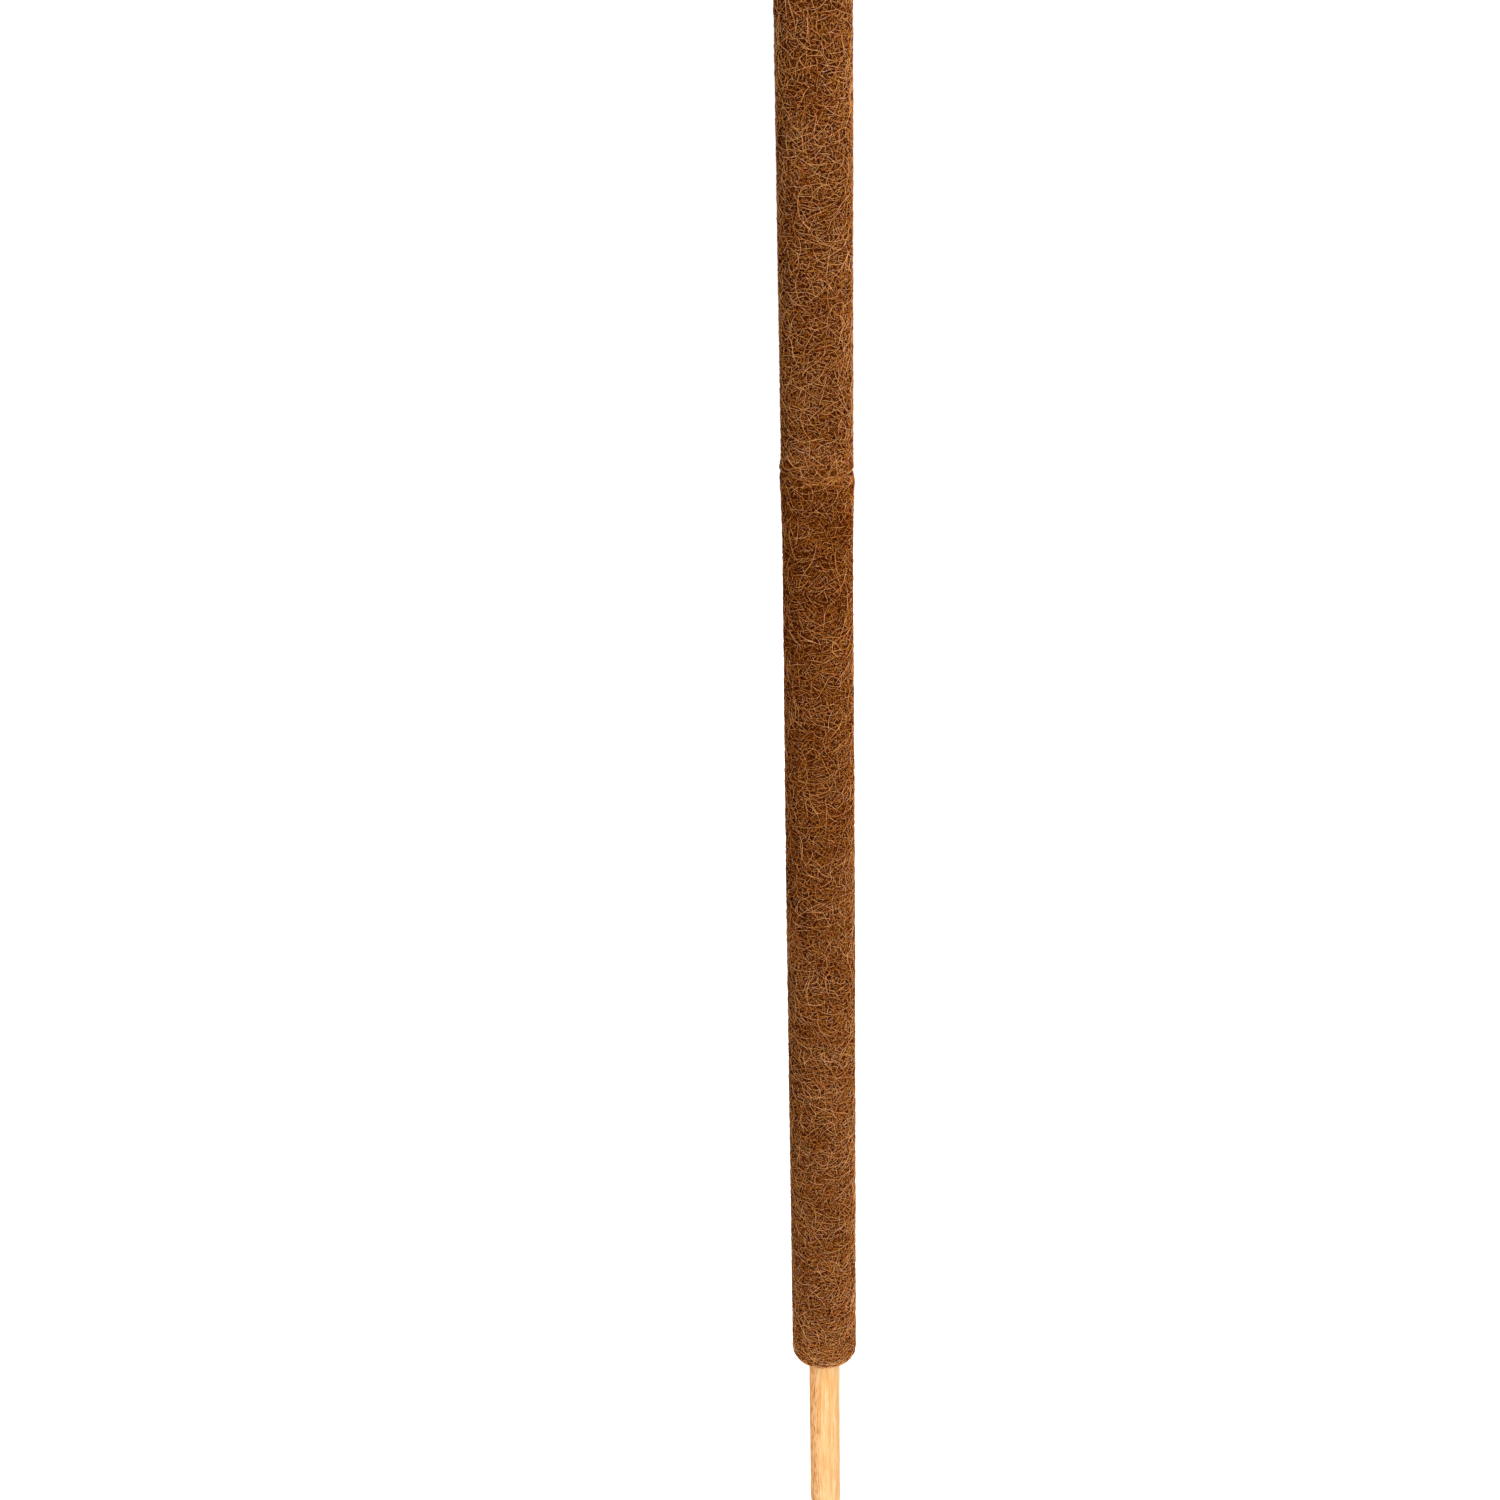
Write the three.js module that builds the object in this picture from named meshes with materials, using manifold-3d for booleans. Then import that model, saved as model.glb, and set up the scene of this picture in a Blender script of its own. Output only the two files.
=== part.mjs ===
// Stackable coir moss pole of two equal sections. Each section is a felted coir sleeve on a hollow core tube,
// with a pointed round stake nailed into the tube's lower end. The upper section's stake stands in the open
// top of the lower section's tube, and its sleeve beds into the soft rim of the sleeve below.
// Sizes are in millimetres, +Z is up, and the origin is on the pole's axis at the foot of the lower sleeve.

import * as THREE from "three";
import { mergeVertices } from "three/addons/utils/BufferGeometryUtils.js";
import Module from "manifold-3d";

// Coir sleeve
const coirDiameter = 33;
const coirLength = 475;
const footRounding = 6.5; // outer edge of the sleeve's lower end
const footLand = 1.6; // flat ring that is left round the stake there
const footSinkShare = 0.54; // share of the foot rounding that beds into the sleeve below
const footCover = 2.7; // coir under the tube's lower end
const mouthCover = 2; // coir over the tube's upper end, under the bedded foot
const mouthFlare = 0.5; // widening of the open top, on the radius
const mouthFlareLength = 14;
const rimRounding = 2; // outer edge of an open top
const mouthRounding = 2; // inner edge of an open top
const lipDrop = 2.5; // height over which the thin lip round a bedded foot is rounded off
const lipLandShare = 0.25; // share of that lip that stays flat

// Core tube
const tubeWall = 2;

// Stake
const stakeDiameter = 16;
const stakeReach = 125; // below the sleeve
const stakeEmbed = 60; // up inside the tube, from the sleeve's foot
const pointLength = 32;
const tipDiameter = 3.2;
const tipRounding = 1.2;
const shoulderBlend = 7; // length of the eased shoulder, each way from where the point starts
const stakeEndChamfer = 1;

// Nails
const nailLength = 9; // under the head
const nailDiameter = 1.4;
const nailPointLength = 2;
const nailHeadDiameter = 3.2;
const nailHeadThickness = 0.7;

// Fits
const fitGap = 0.3; // between pieces that are fixed to each other, and under the bedded foot
const slideClearance = 0.4; // between a stake and the bore, on the radius

// Facets
const sleeveSides = 44;
const tubeSides = 40;
const stakeSides = 32;
const nailSides = 12;
const arcSteps = 2; // half the number of straight steps in each rounded edge

// Sizes that follow from those above
const coirRadius = coirDiameter / 2;
const stakeRadius = stakeDiameter / 2;
const tipRadius = tipDiameter / 2;
const boreRadius = stakeRadius + slideClearance;
const tubeRadius = boreRadius + tubeWall;
const coirBoreRadius = tubeRadius + fitGap;
const rimRadius = coirRadius + mouthFlare;
const footRound = Math.min(footRounding, coirRadius - boreRadius - footLand);
const footCentre = coirRadius - footRound;
const sectionPitch = coirLength - footRound * footSinkShare;
const tubeBottom = footCover + fitGap;
const mouthFloor = sectionPitch - fitGap;
const tubeTop = mouthFloor - mouthCover - fitGap;

const quarterTurn = Math.PI / 2;

const coirMaterial = new THREE.MeshStandardMaterial({ color: 0x764624, roughness: 1, metalness: 0 });
const woodMaterial = new THREE.MeshStandardMaterial({ color: 0xf3bd80, roughness: 0.65, metalness: 0 });
const tubeMaterial = new THREE.MeshStandardMaterial({ color: 0x26221f, roughness: 0.5, metalness: 0 });
const nailMaterial = new THREE.MeshStandardMaterial({ color: 0x9a9a98, roughness: 0.35, metalness: 1 });

const wasm = await Module();
wasm.setup();

// Turns a profile of radius and height round the Z axis.
function turned(profile, sides) {
  return new THREE.LatheGeometry(profile, sides).rotateX(quarterTurn);
}

// A closed geometry as a solid that can be cut.
function solidOf(geometry) {
  const bare = geometry.clone();
  bare.deleteAttribute("normal");
  bare.deleteAttribute("uv");
  const merged = mergeVertices(bare);
  return new wasm.Manifold(
    new wasm.Mesh({
      numProp: 3,
      vertProperties: new Float32Array(merged.attributes.position.array),
      triVerts: new Uint32Array(merged.index.array),
    }),
  );
}

// A geometry with others cut out of it.
function cut(geometry, cutters) {
  let solid = solidOf(geometry);
  for (const cutter of cutters) {
    solid = solid.subtract(solidOf(cutter));
  }
  const mesh = solid.getMesh();
  const result = new THREE.BufferGeometry();
  result.setAttribute("position", new THREE.BufferAttribute(mesh.vertProperties, 3));
  result.setIndex(new THREE.BufferAttribute(mesh.triVerts, 1));
  result.computeVertexNormals();
  return result;
}

// The open top of a sleeve: a flat ring with rounded edges.
function addOpenMouth(path) {
  path.lineTo(rimRadius, coirLength - rimRounding);
  path.absarc(rimRadius - rimRounding, coirLength - rimRounding, rimRounding, 0, quarterTurn, false);
  const innerEdge = boreRadius + mouthRounding;
  path.absarc(innerEdge, coirLength - mouthRounding, mouthRounding, quarterTurn, 2 * quarterTurn, false);
}

// The top of a sleeve with the next sleeve's foot bedded into it: a dish that follows that foot.
function addBeddedMouth(path) {
  const dishRadius = footRound + fitGap;
  const dishHeight = sectionPitch + footRound;
  const lipAngle = Math.asin((coirLength - dishHeight) / dishRadius);
  const lipInside = footCentre + dishRadius * Math.cos(lipAngle);
  const lipLand = (rimRadius - lipInside) * lipLandShare;
  path.lineTo(rimRadius, coirLength - lipDrop);
  path.quadraticCurveTo(rimRadius, coirLength, lipInside + lipLand, coirLength);
  path.absarc(footCentre, dishHeight, dishRadius, lipAngle, -quarterTurn, true);
  path.lineTo(boreRadius, mouthFloor);
}

// Coir sleeve, closed over both ends of the tube inside it.
function sleeveGeometry(addMouth) {
  const path = new THREE.Path();
  path.moveTo(boreRadius, 0);
  path.lineTo(footCentre, 0);
  path.absarc(footCentre, footRound, footRound, -quarterTurn, 0, false);
  path.lineTo(coirRadius, coirLength - mouthFlareLength);
  addMouth(path);
  path.lineTo(boreRadius, tubeTop + fitGap);
  path.lineTo(coirBoreRadius, tubeTop + fitGap);
  path.lineTo(coirBoreRadius, tubeBottom - fitGap);
  path.lineTo(boreRadius, tubeBottom - fitGap);
  path.lineTo(boreRadius, 0);
  return turned(path.getPoints(arcSteps), sleeveSides);
}

// Core tube
function tubeGeometry() {
  const path = new THREE.Path();
  path.moveTo(boreRadius, tubeBottom);
  path.lineTo(tubeRadius, tubeBottom);
  path.lineTo(tubeRadius, tubeTop);
  path.lineTo(boreRadius, tubeTop);
  path.lineTo(boreRadius, tubeBottom);
  return turned(path.getPoints(), tubeSides);
}

// Stake: a blunt tip, a straight point, an eased shoulder and a plain shank with a chamfered end.
function stakeGeometry() {
  const shoulder = pointLength - stakeReach;
  const blendShare = shoulderBlend / pointLength;
  const blendRadius = stakeRadius - (stakeRadius - tipRadius) * blendShare;
  const path = new THREE.Path();
  path.moveTo(0, -stakeReach);
  path.lineTo(tipRadius - tipRounding, -stakeReach);
  path.quadraticCurveTo(tipRadius, -stakeReach, tipRadius, tipRounding - stakeReach);
  path.lineTo(blendRadius, shoulder - shoulderBlend);
  path.quadraticCurveTo(stakeRadius, shoulder, stakeRadius, shoulder + shoulderBlend);
  path.lineTo(stakeRadius, stakeEmbed - stakeEndChamfer);
  path.lineTo(stakeRadius - stakeEndChamfer, stakeEmbed);
  path.lineTo(0, stakeEmbed);
  return turned(path.getPoints(2 * arcSteps), stakeSides);
}

// Nail along Z with the underside of its head at 0, grown by a margin when it is used as a cutter.
function nailGeometry(margin) {
  const shank = nailDiameter / 2 + margin;
  const head = nailHeadDiameter / 2 + margin;
  const tip = -nailLength - margin;
  const path = new THREE.Path();
  path.moveTo(0, tip);
  path.lineTo(shank, tip + nailPointLength);
  path.lineTo(shank, -margin);
  path.lineTo(head, -margin);
  path.lineTo(head, nailHeadThickness + margin);
  path.lineTo(0, nailHeadThickness + margin);
  return turned(path.getPoints(), nailSides);
}

// The nails go in from two sides, evenly spaced up the part of the stake that is in the tube.
const nailSidesOfTube = [
  { name: "right", direction: 1 },
  { name: "left", direction: -1 },
];
const nailPlaces = nailSidesOfTube.map(({ name, direction }, index) => {
  const height = (stakeEmbed * (index + 1)) / (nailSidesOfTube.length + 1);
  const position = new THREE.Vector3(direction * (tubeRadius + fitGap), 0, height);
  const rotation = new THREE.Euler(0, direction * quarterTurn, 0);
  return { name, position, rotation };
});

// Nail-shaped cutters in place in a section.
const nailCutters = nailPlaces.map(({ position, rotation }) => {
  const matrix = new THREE.Matrix4().makeRotationFromEuler(rotation).setPosition(position);
  return nailGeometry(fitGap).applyMatrix4(matrix);
});

function named(name, geometry, material) {
  const mesh = new THREE.Mesh(geometry, material);
  mesh.name = name;
  return mesh;
}

// One section, with its origin at the foot of its sleeve.
function section(prefix, addMouth) {
  const group = new THREE.Group();
  group.add(named(prefix + "_coir_wrap", cut(sleeveGeometry(addMouth), nailCutters), coirMaterial));
  group.add(named(prefix + "_core_tube", cut(tubeGeometry(), nailCutters), tubeMaterial));
  group.add(named(prefix + "_stake", cut(stakeGeometry(), nailCutters), woodMaterial));
  for (const { name, position, rotation } of nailPlaces) {
    const nail = named(prefix + "_stake_nail_" + name, nailGeometry(0), nailMaterial);
    nail.position.copy(position);
    nail.rotation.copy(rotation);
    group.add(nail);
  }
  return group;
}

const lowerSection = section("lower", addBeddedMouth);
const upperSection = section("upper", addOpenMouth);
upperSection.position.z = sectionPitch;

const mossPole = new THREE.Group();
mossPole.add(lowerSection, upperSection);

export default mossPole;
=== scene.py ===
"""Stackable coir moss pole: two sections of matted coir on core tubes, with pale wooden stakes."""
import math
from typing import NamedTuple

import bpy
import numpy as np
from mathutils import Matrix, Vector


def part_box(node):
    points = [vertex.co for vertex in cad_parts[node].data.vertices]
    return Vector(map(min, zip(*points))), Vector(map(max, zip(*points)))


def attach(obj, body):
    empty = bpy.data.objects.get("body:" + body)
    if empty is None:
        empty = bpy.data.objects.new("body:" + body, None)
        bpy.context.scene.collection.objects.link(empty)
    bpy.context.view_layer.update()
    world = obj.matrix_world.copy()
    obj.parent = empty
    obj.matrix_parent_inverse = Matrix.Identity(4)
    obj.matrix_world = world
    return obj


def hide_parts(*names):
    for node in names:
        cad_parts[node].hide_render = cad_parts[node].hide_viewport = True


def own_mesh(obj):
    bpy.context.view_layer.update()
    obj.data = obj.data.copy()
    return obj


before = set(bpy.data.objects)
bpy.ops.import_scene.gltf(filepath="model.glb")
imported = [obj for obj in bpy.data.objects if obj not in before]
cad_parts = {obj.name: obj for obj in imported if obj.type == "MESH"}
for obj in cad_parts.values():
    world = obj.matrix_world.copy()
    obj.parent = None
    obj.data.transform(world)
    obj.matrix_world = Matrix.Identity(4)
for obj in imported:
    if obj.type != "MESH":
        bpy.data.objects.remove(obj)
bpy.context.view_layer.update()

MM = 0.001
PER_CM2 = 1e4
TURN = 2 * math.pi
QUARTER = math.pi / 2
TINY = 1e-12

# Sleeve sizes, as the solids have them
RIM_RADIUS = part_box("upper_coir_wrap")[1][0]
SLEEVE_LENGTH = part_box("lower_coir_wrap")[1][2]
SECTION_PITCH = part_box("upper_coir_wrap")[0][2]
TUBE_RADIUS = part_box("lower_core_tube")[1][0]
MOUTH_FLARE = 0.5 * MM
MOUTH_FLARE_LENGTH = 14 * MM
MOUTH_DEPTH = 5.5 * MM
FOOT_ROUNDING = 6.5 * MM
RIM_ROUNDING = 2 * MM
MOUTH_ROUNDING = 2 * MM
LIP_DROP = 2.5 * MM
LIP_LAND = 0.22 * MM
FIT_GAP = 0.3 * MM
SLIDE_CLEARANCE = 0.4 * MM

# Stake sizes, as the solids have them
STAKE_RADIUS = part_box("lower_stake")[1][0]
STAKE_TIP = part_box("lower_stake")[0][2]
STAKE_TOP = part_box("lower_stake")[1][2]
POINT_LENGTH = 32 * MM
TIP_RADIUS = 1.6 * MM
TIP_ROUNDING = 1.2 * MM
SHOULDER_BLEND = 7 * MM
STAKE_END_CHAMFER = 1 * MM

# Sizes that follow from those above. The foot's lengths are along its line, from the stake outwards
COIR_RADIUS = RIM_RADIUS - MOUTH_FLARE
BORE_RADIUS = STAKE_RADIUS + SLIDE_CLEARANCE
COIR_BORE_RADIUS = TUBE_RADIUS + FIT_GAP
FOOT_CENTRE = COIR_RADIUS - FOOT_ROUNDING
FOOT_LENGTH = FOOT_CENTRE - BORE_RADIUS + QUARTER * FOOT_ROUNDING
BEDDED_SHARE = (SLEEVE_LENGTH - SECTION_PITCH) / FOOT_ROUNDING
BEDDED_LENGTH = FOOT_LENGTH - FOOT_ROUNDING * math.asin(1 - BEDDED_SHARE)

# How much thicker or thinner each sleeve is, by the height above its foot
GIRTH_LOWER = (
    (60 * MM, -0.05 * MM),
    (150 * MM, 0.08 * MM),
    (270 * MM, 0.12 * MM),
    (330 * MM, 0.0),
    (400 * MM, -0.25 * MM),
    (440 * MM, -0.3 * MM),
)
GIRTH_UPPER = (
    (15 * MM, -0.2 * MM),
    (70 * MM, -0.05 * MM),
    (200 * MM, 0.25 * MM),
    (320 * MM, 0.25 * MM),
)


class Layer(NamedTuple):
    """One kind of fibre in the felt.

    Heights are above the sleeve's surface, and density is per square metre.
    Lean is how far the fibres tend to run round the pole: 0 is not at all, and 0.5 is all of them.
    """
    name: str
    density: float
    length: tuple
    bend_radius: float
    thickness: tuple
    height: tuple
    tone: tuple
    lean: float
    points: int
    sides: int = 3
    loose_end: bool = False


class Surface(NamedTuple):
    """A line in radius and height, walked by its length, with its outward normal at each step."""
    along: np.ndarray
    radius: np.ndarray
    height: np.ndarray
    normal_r: np.ndarray
    normal_z: np.ndarray


class Fibres(NamedTuple):
    """Fibres as rows of points, with the sleeve's normal, a thickness and a tone at each."""
    points: np.ndarray
    normals: np.ndarray
    thickness: np.ndarray
    tone: np.ndarray


# Materials

def new_material(name):
    """A node material, and its shader."""
    material = bpy.data.materials.new(name)
    material.use_nodes = True
    return material, material.node_tree.nodes["Principled BSDF"]


def add_node(owner, kind, **settings):
    """A new node in the tree of a material or a world."""
    node = owner.node_tree.nodes.new(kind)
    for key, value in settings.items():
        setattr(node, key, value)
    return node


def join(owner, source, target):
    owner.node_tree.links.new(source, target)


def ramp(material, fac, stops):
    """A colour ramp fed by fac, with stops of place and colour."""
    node = add_node(material, "ShaderNodeValToRGB")
    elements = node.color_ramp.elements
    while len(elements) < len(stops):
        elements.new(0.5)
    for element, (place, colour) in zip(elements, stops):
        element.position = place
        element.color = (*colour, 1)
    join(material, fac, node.inputs["Fac"])
    return node.outputs["Color"]


def noise(material, vector, fineness, detail=3.0):
    """Noise with so many waves to a metre."""
    node = add_node(material, "ShaderNodeTexNoise")
    node.inputs["Scale"].default_value = fineness
    node.inputs["Detail"].default_value = detail
    node.inputs["Roughness"].default_value = 0.55
    join(material, vector, node.inputs["Vector"])
    return node.outputs["Fac"]


def streaks(material, vector, fineness, detail=3.0):
    """Noise with its own fineness along each axis."""
    node = add_node(material, "ShaderNodeMapping")
    node.inputs["Scale"].default_value = fineness
    join(material, vector, node.inputs["Vector"])
    return noise(material, node.outputs["Vector"], 1.0, detail)


def calc(owner, operation, *values, clamp=False):
    """A math node fed by sockets or numbers."""
    node = add_node(owner, "ShaderNodeMath", operation=operation, use_clamp=clamp)
    for socket, value in zip(node.inputs, values):
        if isinstance(value, (int, float)):
            socket.default_value = value
        else:
            join(owner, value, socket)
    return node.outputs["Value"]


def centred(material, value, size):
    """Noise as a change of the given size about zero."""
    return calc(material, "MULTIPLY_ADD", value, size, -size / 2)


def spread(owner, value, source, target=(0.0, 1.0)):
    """Maps one range smoothly onto another."""
    node = add_node(owner, "ShaderNodeMapRange", interpolation_type="SMOOTHSTEP")
    join(owner, value, node.inputs["Value"])
    for name, number in zip(("From Min", "From Max", "To Min", "To Max"), (*source, *target)):
        node.inputs[name].default_value = number
    return node.outputs["Result"]


def blend_colour(material, share, first, second):
    """Mixes two colours, each a socket or a fixed colour, by a share."""
    node = add_node(material, "ShaderNodeMix", data_type="RGBA")
    join(material, share, node.inputs["Factor"])
    for socket, value in ((node.inputs[6], first), (node.inputs[7], second)):
        if isinstance(value, tuple):
            socket.default_value = (*value, 1)
        else:
            join(material, value, socket)
    return node.outputs[2]


def bump(material, shader, height, distance, strength=1.0):
    """Raises the shaded surface by a height between 0 and 1, times a distance."""
    node = add_node(material, "ShaderNodeBump")
    node.inputs["Strength"].default_value = strength
    node.inputs["Distance"].default_value = distance
    join(material, height, node.inputs["Height"])
    join(material, node.outputs["Normal"], shader.inputs["Normal"])


def object_place(material):
    return add_node(material, "ShaderNodeTexCoord").outputs["Object"]


# Coir from dark to light, by its tone, where it is redder and where it is more golden
TONE_TOP = 1.3
RED_COIR = (
    (0.0, (0.075, 0.007, 0.0001)),
    (0.23, (0.270, 0.041, 0.0005)),
    (0.46, (0.570, 0.148, 0.012)),
    (0.77, (0.830, 0.308, 0.077)),
    (1.0, (0.970, 0.505, 0.260)),
)
GOLD_COIR = (
    (0.0, (0.070, 0.008, 0.0001)),
    (0.23, (0.260, 0.049, 0.0005)),
    (0.46, (0.560, 0.170, 0.009)),
    (0.77, (0.820, 0.341, 0.063)),
    (1.0, (0.970, 0.545, 0.232)),
)

# Changes along the fibres: how fine they are, and how far they move the tone or the hue
DRIFT_FINENESS = 260.0
DRIFT_TONE = 0.16
FLECK_FINENESS = 2400.0
FLECK_TONE = 2.4
HUE_FINENESS = 320.0
HUE_RANGE = (0.34, 0.66)


def coir_material():
    """Single fibres, each with a tone of its own that drifts along it and is flecked."""
    material, shader = new_material("coir_fibre")
    tone = add_node(material, "ShaderNodeAttribute", attribute_name="tone").outputs["Fac"]
    place = object_place(material)
    drift = centred(material, noise(material, place, DRIFT_FINENESS), DRIFT_TONE)
    fleck = centred(material, noise(material, place, FLECK_FINENESS, 1.0), FLECK_TONE)
    tone = calc(material, "ADD", tone, calc(material, "ADD", drift, fleck))
    tone = calc(material, "DIVIDE", tone, TONE_TOP, clamp=True)
    hue = spread(material, noise(material, place, HUE_FINENESS, 2.0), HUE_RANGE)
    colour = blend_colour(material, hue, ramp(material, tone, RED_COIR), ramp(material, tone, GOLD_COIR))
    join(material, colour, shader.inputs["Base Color"])
    shader.inputs["Roughness"].default_value = 0.65
    shader.inputs["Specular IOR Level"].default_value = 0.03
    return material


FELT_ONE_WAY = (900.0, 900.0, 2600.0)
FELT_OTHER_WAY = (2400.0, 2400.0, 800.0)
# Dark, partly as painted shade for the deep gaps between the fibres
FELT_COLOURS_AND_SHADE = (
    (0.4, (0.050, 0.011, 0.001)),
    (0.6, (0.110, 0.029, 0.004)),
    (0.75, (0.190, 0.058, 0.010)),
)
FELT_BUMP = 0.6 * MM


def felt_material():
    """The felt between the fibres: fine crossing fibres in colour and bump, dark partly as painted shade
    for the deep gaps.
    """
    material, shader = new_material("coir_felt")
    place = object_place(material)
    one_way = streaks(material, place, FELT_ONE_WAY)
    other_way = streaks(material, place, FELT_OTHER_WAY)
    both = calc(material, "MAXIMUM", one_way, other_way)
    join(material, ramp(material, both, FELT_COLOURS_AND_SHADE), shader.inputs["Base Color"])
    shader.inputs["Roughness"].default_value = 0.9
    shader.inputs["Specular IOR Level"].default_value = 0.05
    bump(material, shader, both, FELT_BUMP)
    return material


# Markings of the wood: how fine they are, the stretch of noise that shows them, their share and colour
CLOUD_FINENESS = (150.0, 150.0, 40.0)
CLOUD_COLOURS = (
    (0.35, (0.89, 0.535, 0.220)),
    (0.5, (0.91, 0.590, 0.275)),
    (0.65, (0.92, 0.655, 0.355)),
)
STREAK_FINENESS = (480.0, 480.0, 32.0)
STREAK_RANGE = (0.46, 0.62)
STREAK_SHARE = 0.7
STREAK_COLOUR = (0.82, 0.400, 0.125)
GRAIN_FINENESS = (1500.0, 1500.0, 60.0)
GRAIN_RANGE = (0.48, 0.62)
GRAIN_SHARE = 0.6
GRAIN_COLOUR = (0.80, 0.375, 0.110)
GRAIN_BUMP = 0.12 * MM
PORE_FINENESS = (1600.0, 1600.0, 180.0)
PORE_RANGE = (0.50, 0.60)
PORE_SHARE_OFF_BAND = 0.15
PORE_COLOUR = (0.60, 0.190, 0.025)

# The browner band down the left of a stake: where it fades out, and how far its edge wanders
BAND_FADE = (-3.4 * MM, 0.6 * MM)
BAND_WANDER = 5.0 * MM
BAND_WANDER_FINENESS = 60.0
BAND_SHARE = 0.5
BAND_COLOUR = (0.88, 0.450, 0.165)


def wood_material():
    """Pale bare softwood: fine grain along it, and on one side a browner band with short dark pores."""
    material, shader = new_material("stake_wood")
    place = object_place(material)
    grain = streaks(material, place, GRAIN_FINENESS, 4.0)
    streak = streaks(material, place, STREAK_FINENESS)
    cloud = streaks(material, place, CLOUD_FINENESS)
    pores = streaks(material, place, PORE_FINENESS, 2.0)
    wander = noise(material, place, BAND_WANDER_FINENESS, 2.0)
    pale = ramp(material, cloud, CLOUD_COLOURS)
    lines = spread(material, streak, STREAK_RANGE, (0.0, STREAK_SHARE))
    pale = blend_colour(material, lines, pale, STREAK_COLOUR)
    lines = spread(material, grain, GRAIN_RANGE, (0.0, GRAIN_SHARE))
    pale = blend_colour(material, lines, pale, GRAIN_COLOUR)
    across = add_node(material, "ShaderNodeSeparateXYZ")
    join(material, place, across.inputs["Vector"])
    edge = calc(material, "MULTIPLY_ADD", wander, BAND_WANDER, across.outputs["X"])
    band = spread(material, edge, BAND_FADE, (1.0, 0.0))
    banded = blend_colour(material, calc(material, "MULTIPLY", band, BAND_SHARE), pale, BAND_COLOUR)
    depth = calc(material, "MULTIPLY_ADD", band, 1 - PORE_SHARE_OFF_BAND, PORE_SHARE_OFF_BAND)
    dashes = calc(material, "MULTIPLY", spread(material, pores, PORE_RANGE), depth)
    colour = blend_colour(material, dashes, banded, PORE_COLOUR)
    join(material, colour, shader.inputs["Base Color"])
    shader.inputs["Roughness"].default_value = 0.62
    shader.inputs["Specular IOR Level"].default_value = 0.2
    bump(material, shader, grain, GRAIN_BUMP, 0.5)
    return material


DRAW_LINE_FINENESS = (1800.0, 1800.0, 12.0)
DRAW_LINE_BUMP = 0.05 * MM
TUBE_COLOURS = ((0.35, (0.014, 0.012, 0.010)), (0.7, (0.030, 0.026, 0.022)))


def tube_material():
    """Extruded plastic with faint draw lines along it, near black, which keeps the inside of the mouth
    dark.
    """
    material, shader = new_material("core_tube")
    lines = streaks(material, object_place(material), DRAW_LINE_FINENESS)
    join(material, ramp(material, lines, TUBE_COLOURS), shader.inputs["Base Color"])
    shader.inputs["Roughness"].default_value = 0.45
    bump(material, shader, lines, DRAW_LINE_BUMP, 0.5)
    return material


TARNISH_FINENESS = 700.0
STEEL_COLOURS = ((0.35, (0.36, 0.34, 0.31)), (0.65, (0.62, 0.61, 0.59)))


def steel_material():
    """Plain nail wire with a little tarnish."""
    material, shader = new_material("nail_steel")
    tarnish = noise(material, object_place(material), TARNISH_FINENESS)
    join(material, ramp(material, tarnish, STEEL_COLOURS), shader.inputs["Base Color"])
    shader.inputs["Metallic"].default_value = 1.0
    shader.inputs["Roughness"].default_value = 0.38
    return material


# Lines in radius and height

SURFACE_STEP = 0.2 * MM


def arc(centre_r, centre_z, radius, start, end, steps=14):
    angles = np.linspace(start, end, steps + 1)
    return np.column_stack((centre_r + radius * np.cos(angles), centre_z + radius * np.sin(angles)))


def curve(start, corner, end, steps=12):
    """A smooth bend from start to end, drawn towards a corner."""
    share = np.linspace(0, 1, steps + 1)[:, None]
    return (1 - share) ** 2 * start + 2 * share * (1 - share) * corner + share ** 2 * end


def surface_from(line, step=SURFACE_STEP):
    """Walks a line in even steps and works out its outward normals."""
    line = np.vstack(line)
    lengths = np.hypot(*np.diff(line, axis=0).T)
    line = line[np.concatenate(([True], lengths > TINY))]
    along = np.concatenate(([0.0], np.cumsum(lengths[lengths > TINY])))
    even = np.linspace(0, along[-1], int(along[-1] / step))
    radius = np.interp(even, along, line[:, 0])
    height = np.interp(even, along, line[:, 1])
    slope_r, slope_z = np.gradient(radius), np.gradient(height)
    size = np.hypot(slope_r, slope_z)
    return Surface(even, radius, height, slope_z / size, -slope_r / size)


def foot_and_side(base, girth):
    """A sleeve's outer line from the stake, over its rounded foot and up its side."""
    return [
        [[BORE_RADIUS, base]],
        arc(FOOT_CENTRE, base + FOOT_ROUNDING, FOOT_ROUNDING, -QUARTER, 0),
        [[COIR_RADIUS + change, base + height] for height, change in girth],
        [[COIR_RADIUS, base + SLEEVE_LENGTH - MOUTH_FLARE_LENGTH]],
    ]


def open_sleeve(base):
    """Outer line of a sleeve whose mouth is free, ending inside the mouth."""
    top = base + SLEEVE_LENGTH
    return foot_and_side(base, GIRTH_UPPER) + [
        arc(RIM_RADIUS - RIM_ROUNDING, top - RIM_ROUNDING, RIM_ROUNDING, 0, QUARTER),
        arc(BORE_RADIUS + MOUTH_ROUNDING, top - MOUTH_ROUNDING, MOUTH_ROUNDING, QUARTER, 2 * QUARTER),
        [[BORE_RADIUS, top - MOUTH_DEPTH]],
    ]


def dish(depth=0.0):
    """The lower section's bedded mouth, from the lip down to the bore, or a line that deep below it."""
    radius = FOOT_ROUNDING + FIT_GAP + depth
    centre = SECTION_PITCH + FOOT_ROUNDING
    lip = math.asin((SLEEVE_LENGTH - depth - centre) / radius)
    return [
        arc(FOOT_CENTRE, centre, radius, lip, -QUARTER),
        [[BORE_RADIUS, centre - radius]],
    ]


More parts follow.
